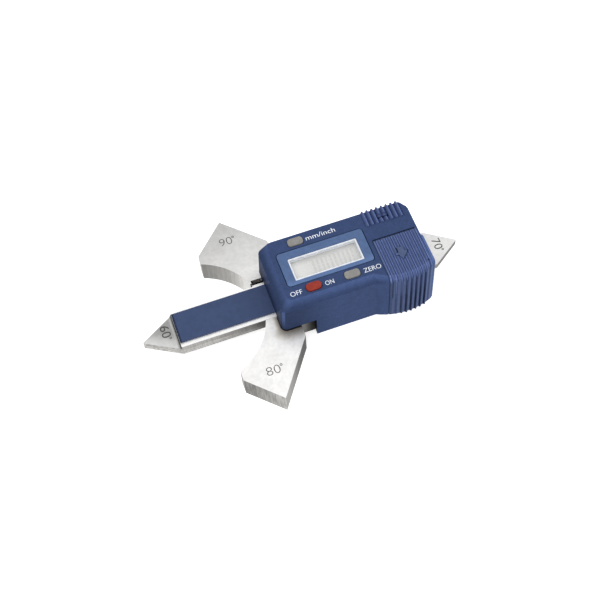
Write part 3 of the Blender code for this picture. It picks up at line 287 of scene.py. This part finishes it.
def new_material(name, colour, roughness, metallic=0.0, specular=0.1):
    made = bpy.data.materials.new(name)
    made.use_nodes = True
    shader = made.node_tree.nodes["Principled BSDF"]
    shader.inputs["Base Color"].default_value = (*colour, 1.0)
    shader.inputs["Roughness"].default_value = roughness
    shader.inputs["Metallic"].default_value = metallic
    shader.inputs["Specular IOR Level"].default_value = specular
    return made


def shade(colour, factor):
    return tuple(part * factor for part in colour)


def put(tree, socket, value):
    """A number or a colour is typed in, a socket is linked."""
    if isinstance(value, (int, float, tuple)):
        socket.default_value = value
    else:
        tree.links.new(value, socket)


def maths(tree, operation, *values):
    node = tree.nodes.new("ShaderNodeMath")
    node.operation = operation
    for socket, value in zip(node.inputs, values):
        put(tree, socket, value)
    return node.outputs[0]


def product(tree, *values):
    total = values[0]
    for value in values[1:]:
        total = maths(tree, "MULTIPLY", total, value)
    return total


def fade(tree, value, start, end, low, high):
    """Goes smoothly from low at start to high at end."""
    node = tree.nodes.new("ShaderNodeMapRange")
    node.interpolation_type = "SMOOTHSTEP"
    names = ("Value", "From Min", "From Max", "To Min", "To Max")
    for name, part in zip(names, (value, start, end, low, high)):
        put(tree, node.inputs[name], part)
    return node.outputs[0]


def fade_from(tree, value, place, span):
    """A fade whose start and end are counted from a place."""
    start, end, low, high = span
    return fade(tree, value, place + start, place + end, low, high)


def between(tree, value, low, high, soft=0.15):
    """One from low to high, zero outside."""
    rising = fade(tree, value, low - soft, low + soft, 0.0, 1.0)
    return product(tree, rising, fade(tree, value, high - soft, high + soft, 1.0, 0.0))


def ramp(tree, value, points):
    """A piecewise line through (position from 0 to 1, level from 0 to 1) pairs."""
    node = tree.nodes.new("ShaderNodeValToRGB")
    elements = node.color_ramp.elements
    while len(elements) < len(points):
        elements.new(0.5)
    for element, (position, level) in zip(elements, points):
        element.position = position
        element.color = (level, level, level, 1.0)
    put(tree, node.inputs["Fac"], value)
    return node.outputs["Color"]


def blend(tree, factor, first, second):
    """Mix of two numbers."""
    node = tree.nodes.new("ShaderNodeMix")
    put(tree, node.inputs[0], factor)
    put(tree, node.inputs[2], first)
    put(tree, node.inputs[3], second)
    return node.outputs[0]


def mix_colours(tree, factor, first, second):
    node = tree.nodes.new("ShaderNodeMix")
    node.data_type = "RGBA"
    for socket, value in zip((node.inputs[0], node.inputs[6], node.inputs[7]), (factor, first, second)):
        put(tree, socket, (*value, 1.0) if isinstance(value, tuple) else value)
    return node.outputs[2]


def scale_colour(tree, colour, factor):
    node = tree.nodes.new("ShaderNodeVectorMath")
    node.operation = "SCALE"
    put(tree, node.inputs[0], colour)
    put(tree, node.inputs["Scale"], factor)
    return node.outputs[0]


def tint(made, colour, factor):
    """Base colour times a painted factor."""
    tree = made.node_tree
    tree.links.new(scale_colour(tree, colour, factor), tree.nodes["Principled BSDF"].inputs["Base Color"])


def place_of(tree):
    """Rest place in millimetres."""
    source = tree.nodes.new("ShaderNodeTexCoord")
    split = tree.nodes.new("ShaderNodeSeparateXYZ")
    tree.links.new(source.outputs["Object"], split.inputs[0])
    return [maths(tree, "MULTIPLY", split.outputs[axis], 1000) for axis in range(3)]


def normal_of(tree):
    source = tree.nodes.new("ShaderNodeNewGeometry")
    split = tree.nodes.new("ShaderNodeSeparateXYZ")
    tree.links.new(source.outputs["True Normal"], split.inputs[0])
    return split.outputs


def noise_of(tree, scale, detail, stretch=(1, 1, 1)):
    source = tree.nodes.new("ShaderNodeTexCoord")
    mapping = tree.nodes.new("ShaderNodeMapping")
    mapping.inputs["Scale"].default_value = [1000 * part for part in stretch]
    tree.links.new(source.outputs["Object"], mapping.inputs["Vector"])
    noise = tree.nodes.new("ShaderNodeTexNoise")
    noise.inputs["Scale"].default_value = scale
    noise.inputs["Detail"].default_value = detail
    tree.links.new(mapping.outputs["Vector"], noise.inputs["Vector"])
    return noise.outputs["Fac"]


def clouds(tree, scale, detail, amount, stretch=(1, 1, 1)):
    """A factor that wanders about one."""
    return fade(tree, noise_of(tree, scale, detail, stretch), *CLOUD_RANGE, 1 - amount, 1 + amount)


def add_bump(made, noise, strength, depth):
    """Relief from a noise, depth in millimetres."""
    tree = made.node_tree
    bump = tree.nodes.new("ShaderNodeBump")
    bump.inputs["Strength"].default_value = strength
    bump.inputs["Distance"].default_value = depth * MM
    tree.links.new(noise, bump.inputs["Height"])
    tree.links.new(bump.outputs["Normal"], tree.nodes["Principled BSDF"].inputs["Normal"])


def add_grain(made, depth):
    add_bump(made, noise_of(made.node_tree, *GRAIN), GRAIN_STRENGTH, depth)


# Steel


def beside_head(tree, x, y):
    """Zero against the rounded walls of the head, one where its shadow ends, which is nearer on the left."""
    to_left = maths(tree, "MAXIMUM", maths(tree, "SUBTRACT", head_low.x + HEAD_ROUND, x), 0.0)
    to_front = maths(tree, "MAXIMUM", maths(tree, "SUBTRACT", head_front + HEAD_ROUND, y), 0.0)
    squares = maths(tree, "ADD", product(tree, to_left, to_left), product(tree, to_front, to_front))
    apart = maths(tree, "SUBTRACT", maths(tree, "SQRT", squares), HEAD_ROUND)
    stretched = product(tree, apart, fade_from(tree, y, head_front, SHADOW_NARROWS))
    share = maths(tree, "DIVIDE", stretched, SHADOW_REACH)
    return maths(tree, "MINIMUM", maths(tree, "MAXIMUM", share, 0.0), 1.0)


def warm_shadow(tree, x, y, colour):
    """The steel is warmer where the head shades the front arm."""
    apart = blend(tree, fade(tree, y, *FRONT_ARM), 1.0, beside_head(tree, x, y))
    return mix_colours(tree, apart, STEEL_SHADOW, colour)


def body_paint(tree, x, y, z):
    """Painted light and shade: the rear arm is darker than the front one, both are a little lighter towards the
    roots than at the feet, and a painted shadow darkens the front arm beside the head.
    """
    arm = fade(tree, y, *FRONT_TO_REAR)
    arm = product(tree, arm, fade(tree, y, *REAR_ARM))
    arm = product(tree, arm, fade_from(tree, x, body_low.x, FEET_TO_ROOTS))
    apart = beside_head(tree, x, y)
    contact = product(tree, fade(tree, apart, *HEAD_SHADOW), fade(tree, apart, *CONTACT_LINE))
    return product(tree, arm, blend(tree, fade(tree, y, *FRONT_ARM), 1.0, contact))


def beam_paint(tree, x, y, z):
    """Painted light and shade: the thinned 60 degree point is darker away from its front edge and dark in the corner
    of its step, and the beam is darker right of the head.
    """
    along = maths(tree, "MULTIPLY", maths(tree, "SUBTRACT", x, beam_low.x), POINT_SLOPE)
    point = fade(tree, maths(tree, "ADD", y, along), *POINT_TONE)
    shape = blend(tree, fade(tree, z, *STEP_FOOT), point, fade(tree, z, *STEP_TONE))
    shape = blend(tree, fade(tree, z, *STEP_HEAD), shape, 1.0)
    return product(tree, shape, fade_from(tree, x, head_high.x, RIGHT_END_TONE))


def gib_paint(tree, x, y, z):
    """The strip is in the shade of its slot, except along the beam."""
    return fade_from(tree, y, gib_rear, GIB_TONE)


def body_side_paint(tree, x, y, z, normal_x):
    """Painted light and shade: the hollow is lit at its inner end, and the front arm's sides darken towards the head
    and under it.
    """
    hollow = fade_from(tree, x, body_low.x, HOLLOW_END)
    rear = blend(tree, fade(tree, y, *HOLLOW_REACH), 1.0, hollow)
    right = fade_from(tree, y, body_low.y, FRONT_ARM_RIGHT)
    end = fade_from(tree, x, body_low.x, FRONT_ARM_END)
    end = product(tree, end, clouds(tree, *END_MARKS, UPRIGHT))
    front = blend(tree, fade(tree, normal_x, *FACES_RIGHT), end, right)
    front = blend(tree, fade(tree, y, *NEAR_HEAD), front, fade(tree, x, *UNDER_HEAD))
    return blend(tree, fade(tree, y, *REAR_HALF), front, rear)


def beam_side_paint(tree, x, y, z, normal_x):
    """Streaks along the beam, with painted light and shade: lighter towards the left end, darker just left of the
    head and in the corner of the step.
    """
    along = fade(tree, x, label_low.x + BRIGHT_RUN, head_low.x - DULL_RUN, *BEAM_SIDE_TONES)
    along = product(tree, along, fade_from(tree, x, head_low.x, BEAM_BESIDE_HEAD))
    along = product(tree, along, fade_from(tree, x, head_low.x, BEAM_INSIDE_HEAD))
    on_step = product(tree, fade(tree, z, *STEP_SIDE_FOOT), fade_from(tree, x, label_low.x, LEFT_OF_LABEL))
    step = blend(tree, on_step, 1.0, fade(tree, z, *STEP_SIDE_TONE))
    right = fade_from(tree, x, head_high.x, BEAM_PAST_HEAD)
    streaks = clouds(tree, *BEAM_STREAKS, ALONG_BEAM)
    return product(tree, along, fade(tree, z, *BEAM_SIDE_HEIGHT), streaks, step, right)


def ground_steel(
    name, colour, side_colour, top_paint=None, side_paint=None, roughness=0.42, marks=0.12, shaded=False
):
    """Ground steel: faint clouds on the flats, upright tool marks on the sides, and painted reflection that makes
    the sides darker than the flats and lighter where they face left; where shaded, a painted warm shadow of the
    head.
    """
    made = new_material(name, colour, roughness, 1.0)
    tree = made.node_tree
    x, y, z = place_of(tree)
    normal_x, _, normal_z = normal_of(tree)
    top = product(tree, clouds(tree, *FLAT_CLOUDS), clouds(tree, *BROAD_CLOUDS))
    # Painted reflection: the sides are lighter where they face left
    side = ramp(tree, maths(tree, "MULTIPLY_ADD", normal_x, 0.5, 0.5), SIDE_BY_TURN)
    side = product(tree, side, clouds(tree, *TOOL_MARKS, marks, UPRIGHT))
    if top_paint:
        top = product(tree, top, top_paint(tree, x, y, z))
    if side_paint:
        side = product(tree, side, side_paint(tree, x, y, z, normal_x))
    if shaded:
        colour = warm_shadow(tree, x, y, colour)
    upward = maths(tree, "ABSOLUTE", normal_z)
    tint(made, mix_colours(tree, upward, side_colour, colour), blend(tree, upward, side, top))
    add_bump(made, noise_of(tree, *STEEL_GRAIN), STEEL_GRAIN_STRENGTH, STEEL_GRAIN_DEPTH)
    return made


# Plastic


def ridge_colour(tree, x, y, z):
    """Painted light and shade of the ridges: lit flanks and shaded lines on top, broad shaded bands on the wall of
    the grip, painted shade in the valleys and in a slot of the wall, and a plain lit tone on the arrow.
    """
    phase = maths(tree, "DIVIDE", maths(tree, "SUBTRACT", x, ridge_first), RIDGE_PITCH)
    phase = maths(tree, "FRACT", phase)
    fine = product(tree, ramp(tree, phase, RIDGE_ON_TOP), fade_from(tree, z, head_top, VALLEY_TONE))
    rear = ramp(tree, phase, RIDGE_AT_REAR)
    fine = blend(tree, fade_from(tree, y, cover_rear, REAR_RIDGES), fine, rear)
    broad = ramp(tree, phase, RIDGE_ON_WALL)
    broad = blend(tree, fade_from(tree, x, ridge_first, WALL_RIDGES_GROW), WALL_PLAIN, broad)
    on_top = mix_colours(tree, fine, RIDGE_SHADED, RIDGE_LIT)
    on_wall = mix_colours(tree, broad, shade(RIDGE_SHADED, WALL_DARK_SHARE), shade(RIDGE_LIT, WALL_LIGHT_SHARE))
    slot = between(tree, x, WALL_SLOT_X - WALL_SLOT_HALF, WALL_SLOT_X + WALL_SLOT_HALF)
    slot = product(tree, slot, fade(tree, z, *WALL_SLOT_HEIGHT))
    on_wall = scale_colour(tree, on_wall, blend(tree, slot, 1.0, WALL_SLOT_TONE))
    mixed = mix_colours(tree, fade_from(tree, z, head_top, TOP_FROM_WALL), on_wall, on_top)
    arrow = fade_from(tree, z, arrow_base, ARROW_RISE)
    return mix_colours(tree, arrow, mixed, shade(RIDGE_LIT, ARROW_TONE))


def head_zone(tree, x, y, z):
    """Where the head has ridges."""
    along = between(tree, x, ridge_first - HEAD_RIDGES_START, ridge_first + HEAD_RIDGES_END)
    return product(tree, along, fade_from(tree, y, head_high.y, HEAD_RIDGES_FRONT))


def cover_zone(tree, x, y, z):
    """Where the battery cover has ridges."""
    return between(tree, x, cover_low.x, ridge_first + COVER_RIDGES_END)


def wall_paint(tree, x, z, normal_x, normal_y):
    """Painted light and shade: darker where a wall faces left, lighter where it faces right, with painted gradients
    on the front and left walls.
    """
    turned = [fade(tree, normal_x, *span) for span in (FACING_LEFT, FACING_PARTLY_RIGHT, FACING_RIGHT)]
    front = fade(tree, normal_y, *FRONT_WALL)
    front = blend(tree, front, 1.0, fade_from(tree, x, head_low.x, FRONT_WALL_TONE))
    left = fade(tree, normal_x, *LEFT_WALL)
    left = blend(tree, left, 1.0, fade(tree, z, *LEFT_WALL_TONE))
    return product(tree, *turned, front, left)


def edge_paint(tree, z, normal_x, normal_y, normal_z):
    """Painted highlights: the sloped edges are light along the top, and so is the upright corner at the front left.
    """
    sloped = product(tree, fade(tree, normal_z, *BEVEL_STEEPEST), fade(tree, normal_z, *BEVEL_FLATTEST))
    bevel = blend(tree, sloped, 1.0, fade_from(tree, z, head_top, BEVEL_TONE))
    corner = product(tree, fade(tree, normal_x, *CORNER_FROM_FRONT), fade(tree, normal_x, *CORNER_FROM_LEFT))
    corner = product(tree, corner, fade(tree, normal_y, *CORNER_AT_FRONT))
    corner = product(tree, corner, fade_from(tree, z, head_top, CORNER_HEIGHT))
    return product(tree, bevel, blend(tree, corner, 1.0, CORNER_TONE))


def seam_paint(tree, x, y, z):
    """The dark seam along the rear edge of the battery cover."""
    seam = between(tree, y, cover_rear - SEAM_HALF, cover_rear + SEAM_HALF, SEAM_SOFT)
    seam = product(tree, seam, between(tree, x, cover_low.x, ridge_first + SEAM_REACH))
    seam = product(tree, seam, fade_from(tree, z, head_top, SEAM_LEVEL))
    return blend(tree, seam, 1.0, SEAM_TONE)


def moulded_blue(name, zone=None):
    """Blue plastic with painted light, shade and highlights, and with the painted light and shade of ridges where a
    zone is given.
    """
    made = new_material(name, BLUE, 0.45, specular=0.02)
    tree = made.node_tree
    x, y, z = place_of(tree)
    normal_x, normal_y, normal_z = normal_of(tree)
    factor = product(
        tree,
        wall_paint(tree, x, z, normal_x, normal_y),
        edge_paint(tree, z, normal_x, normal_y, normal_z),
        clouds(tree, *MOULD_CLOUDS),
        clouds(tree, *BLUE_MOTTLE),
        seam_paint(tree, x, y, z),
    )
    colour = BLUE
    if zone:
        colour = mix_colours(tree, zone(tree, x, y, z), BLUE, ridge_colour(tree, x, y, z))
    tint(made, colour, factor)
    add_grain(made, BLUE_GRAIN_DEPTH)
    return made


def moulded_plastic(name, colour, roughness=0.45, grain_depth=0.01, mottle=0.05, paint=None):
    """Plastic with a fine spark-eroded grain."""
    made = new_material(name, colour, roughness)
    tree = made.node_tree
    factor = product(tree, clouds(tree, *MOULD_CLOUDS), clouds(tree, *MOTTLE, mottle))
    if paint:
        factor = product(tree, factor, paint(tree))
    tint(made, colour, factor)
    add_grain(made, grain_depth)
    return made


def panel_paint(tree):
    """The panel is lighter towards the front."""
    y = place_of(tree)[1]
    return fade_from(tree, y, panel_low.y, PANEL_FRONT)


def label_film(name):
    """Printed film, with painted shade at its left end."""
    made = new_material(name, LABEL_BLUE, 0.38)
    tree = made.node_tree
    x = place_of(tree)[0]
    end = fade_from(tree, x, label_low.x, LABEL_LEFT_END)
    tint(made, LABEL_BLUE, product(tree, end, clouds(tree, *LABEL_CLOUDS)))
    add_grain(made, LABEL_GRAIN_DEPTH)
    return made


def display_glass(name):
    """Pale grey display, with painted shade of its rim at the rear and at the right, and painted light towards the
    left.
    """
    made = new_material(name, DISPLAY, 0.35)
    tree = made.node_tree
    x, y, _ = place_of(tree)
    rear = fade_from(tree, y, lens_high.y, DISPLAY_REAR)
    right = fade_from(tree, x, lens_high.x, DISPLAY_RIGHT)
    left = fade_from(tree, x, lens_low.x, DISPLAY_LEFT)
    tint(made, DISPLAY, product(tree, rear, right, left, clouds(tree, *DISPLAY_CLOUDS)))
    return made


def clear_plastic(name):
    made = new_material(name, CLEAR, 0.06)
    shader = made.node_tree.nodes["Principled BSDF"]
    shader.inputs["Alpha"].default_value = CLEAR_ALPHA
    shader.inputs["IOR"].default_value = CLEAR_IOR
    made.surface_render_method = "BLENDED"
    return made


label_blue = label_film("label_film")
white_ink = moulded_plastic("white_ink", WHITE_INK, 0.5, 0.001)
dark_ink = moulded_plastic("etched_ink", INK, 0.6, 0.002)
segment = moulded_plastic("display_segment", SEGMENT, 0.4, 0.001)
dark = moulded_plastic("black_plastic", DARK, 0.5, 0.004)
bright = ground_steel("bright_steel", CELL, shade(CELL, SIDE_SHADE_SHARE), roughness=0.25)

FINISHES = {
    "steel": ground_steel("ground_steel", STEEL, STEEL_SIDE_SHADE),
    "screw_steel": ground_steel("screw_steel", SCREW, shade(SCREW, SIDE_SHADE_SHARE)),
    "blue_plastic": moulded_blue("moulded_blue"),
    "panel_blue": moulded_plastic("panel_film", PANEL_BLUE, 0.42, 0.004, paint=panel_paint),
    "label_blue": label_blue,
    "white_plastic": moulded_plastic("white_rim", WHITE, 0.4, 0.002),
    "lens": clear_plastic("clear_lens"),
    "display": display_glass("display_glass"),
    "connector_rubber": dark,
    "grey_key": moulded_plastic("grey_key", GREY_KEY, 0.5, 0.004, 0.06),
    "red_key": moulded_plastic("red_key", RED_KEY, 0.42, 0.004, 0.1),
    "black_plastic": dark,
    "circuit_board": moulded_plastic("circuit_board", BOARD, 0.5, 0.004),
    "cell_steel": bright,
    "contact_brass": bright,
}

OWN_FINISHES = {
    "angle_body": ground_steel(
        "body_steel", STEEL, STEEL_SIDE_SHADE, body_paint, body_side_paint, roughness=0.55, marks=0.07, shaded=True
    ),
    "beam": ground_steel("beam_steel", STEEL, STEEL_SIDE_SHADE, beam_paint, beam_side_paint),
    "head_cover": moulded_blue("head_blue", head_zone),
    "battery_cover": moulded_blue("cover_blue", cover_zone),
    "port_cover": moulded_blue("port_blue", head_zone),
    "scale_board": label_blue,
    "gib_strip": ground_steel("gib_steel", STEEL, STEEL_SIDE_SHADE, gib_paint),
}


def paint_nodes():
    slots = {part["node"]: part["material_slot"] for part in frame["record"]["subparts"]}
    for name, node in nodes.items():
        node.data.materials.clear()
        node.data.materials.append(OWN_FINISHES.get(name) or FINISHES[slots[name]])
        node.data.shade_smooth()
        node.data.set_sharp_from_angle(angle=math.radians(SHARP_ANGLE))


# Markings


def add_text(name, words, place, turn, height, body, material, width=1.0, weight=0.0):
    """Flat lettering. The height is that of a capital, in metres, and the place is its lower left corner."""
    curve = bpy.data.curves.new(name, "FONT")
    curve.body = words
    curve.size = height / CAPITAL_SHARE
    curve.offset = weight * MM
    curve.extrude = INK_THICK * MM / 2
    curve.resolution_u = 6
    made = bpy.data.objects.new(name, curve)
    bpy.context.collection.objects.link(made)
    made.location = place
    made.rotation_euler = (0, 0, math.radians(turn))
    made.scale = (width, 1, 1)
    curve.materials.append(material)
    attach(made, body)


def mark_head():
    """The words of the keys. Places and heights are in millimetres, and those in front follow the panel's edge."""
    low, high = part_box("window_panel")
    top = high.z + INK_LIFT * MM
    front = low.y / MM
    for name, words, x, y, height, width, weight in (
        ("unit_words", "mm/inch", 13.1, 10.9, 2.1, 1.22, -0.01),
        ("off_word", "OFF", -0.6, front - 4.5, 2.1, 0.95, -0.02),
        ("on_word", "ON", 13.4, front - 4.3, 2.0, 0.84, -0.02),
        ("zero_word", "ZERO", 29.0, front - 4.3, 2.05, 0.98, -0.02),
    ):
        place = (low.x + x * MM, y * MM, top)
        add_text(name, words, place, 0, height * MM, "gauge_body", white_ink, width, weight)


def draw_segments():
    """Faint upright segments of a display that is switched off, one mesh."""
    low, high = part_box("window_lens")
    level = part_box("lcd_glass")[1].z + INK_LIFT * MM
    middle = (low.y + high.y) / 2 - SEGMENT_SHIFT * MM
    wide = SEGMENT_BAR * MM
    bm = bmesh.new()
    for digit in range(SEGMENT_DIGITS):
        for side in range(2):
            x = low.x + (SEGMENT_START + digit * SEGMENT_PITCH + side * SEGMENT_WIDE) * MM
            for end in (-1, 1):
                near = middle + end * SEGMENT_HALF_GAP * MM
                far = middle + end * SEGMENT_TALL * MM
                lean = SEGMENT_LEAN * end * MM
                corners = [(x, near), (x + wide, near), (x + wide + lean, far), (x + lean, far)]
                if end < 0:
                    corners.reverse()
                bm.faces.new([bm.verts.new((*corner, level)) for corner in corners])
    mesh = bpy.data.meshes.new("display_segments")
    bm.to_mesh(mesh)
    bm.free()
    mesh.materials.append(segment)
    made = bpy.data.objects.new("display_segments", mesh)
    bpy.context.collection.objects.link(made)
    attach(made, "gauge_body")


def mark_angle(name, number, place, turn, height, body, weight):
    """A number with a small raised ring."""
    add_text(name, number, place, turn, height, body, dark_ink, NUMBER_WIDTH, weight)
    aside = Vector((RING_ASIDE * height, RING_LIFT * height, 0))
    aside.rotate(Matrix.Rotation(math.radians(turn), 3, "Z"))
    place = Vector(place) + aside
    add_text(name + "_ring", "°", place, turn, height * RING_SHARE, body, dark_ink, 1.0, RING_WEIGHT)


def mark_steel():
    """The four angle numbers. Places and heights are in millimetres, counted from the feet and the beam's middle."""
    plate_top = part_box("beam")[1].z + INK_LIFT * MM
    feet_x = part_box("angle_body")[0].x
    tip_top = plate_top - POINT_STEP * MM
    for name, number, x, y, z, turn, height, body, weight in (
        ("mark_90", "90", 9.6, 30.4, plate_top, 0, 3.7, "gauge_body", -0.09),
        ("mark_80", "80", 8.8, -31.5, plate_top, 0, 3.9, "gauge_body", -0.1),
        ("mark_60", "60", -23.6, 4.7, tip_top, -90, 3.7, "beam_slider", 0.02),
        ("mark_70", "70", 89.6, 3.6, plate_top, -90, 3.5, "beam_slider", -0.03),
    ):
        mark_angle(name, number, (feet_x + x * MM, y * MM, z), turn, height * MM, body, weight)


# Floor, light and camera


def build_floor():
    """Pale floor that glows a little and throws no colour back."""
    bm = bmesh.new()
    bmesh.ops.create_grid(bm, x_segments=1, y_segments=1, size=FLOOR_HALF)
    mesh = bpy.data.meshes.new("floor")
    bm.to_mesh(mesh)
    bm.free()
    floor = bpy.data.objects.new("floor", mesh)
    floor.location = (0, 0, -FLOOR_DROP)
    bpy.context.collection.objects.link(floor)
    made = new_material("pale_floor", FLOOR, 0.9, specular=0.0)
    shader = made.node_tree.nodes["Principled BSDF"]
    shader.inputs["Emission Color"].default_value = (1, 1, 1, 1)
    shader.inputs["Emission Strength"].default_value = FLOOR_GLOW
    mesh.materials.append(made)
    floor.visible_diffuse = False
    floor.visible_glossy = False


def build_light():
    """A white sky, a little darker below the horizon, and one soft disk from the front left."""
    world = bpy.data.worlds.new("studio")
    bpy.context.scene.world = world
    world.use_nodes = True
    tree = world.node_tree
    source = tree.nodes.new("ShaderNodeTexCoord")
    split = tree.nodes.new("ShaderNodeSeparateXYZ")
    tree.links.new(source.outputs["Generated"], split.inputs[0])
    level = fade(tree, split.outputs[2], 0.0, HORIZON, BELOW_STRENGTH, SKY_STRENGTH)
    tree.links.new(level, tree.nodes["Background"].inputs["Color"])
    lamp = bpy.data.lights.new("key_light", "AREA")
    lamp.shape = "DISK"
    lamp.size = KEY_SIZE
    lamp.energy = KEY_ENERGY
    made = bpy.data.objects.new("key_light", lamp)
    made.location = KEY_PLACE
    made.rotation_euler = (-Vector(KEY_PLACE)).to_track_quat("-Z", "Y").to_euler()
    bpy.context.collection.objects.link(made)


def build_camera():
    camera = bpy.data.cameras.new("camera")
    camera.sensor_width = SENSOR
    camera.lens = CAMERA_LENS
    camera.clip_start = CAMERA_CLIP
    made = bpy.data.objects.new("camera", camera)
    made.location = CAMERA_PLACE
    made.rotation_euler = [math.radians(angle) for angle in CAMERA_TURN]
    bpy.context.collection.objects.link(made)
    bpy.context.scene.camera = made


for old in list(bpy.data.objects):
    if old.name in ("Cube", "Light", "Camera"):
        bpy.data.objects.remove(old, do_unlink=True)
bpy.context.scene.view_settings.view_transform = "Standard"
paint_nodes()
mark_head()
mark_steel()
draw_segments()
build_floor()
build_light()
build_camera()
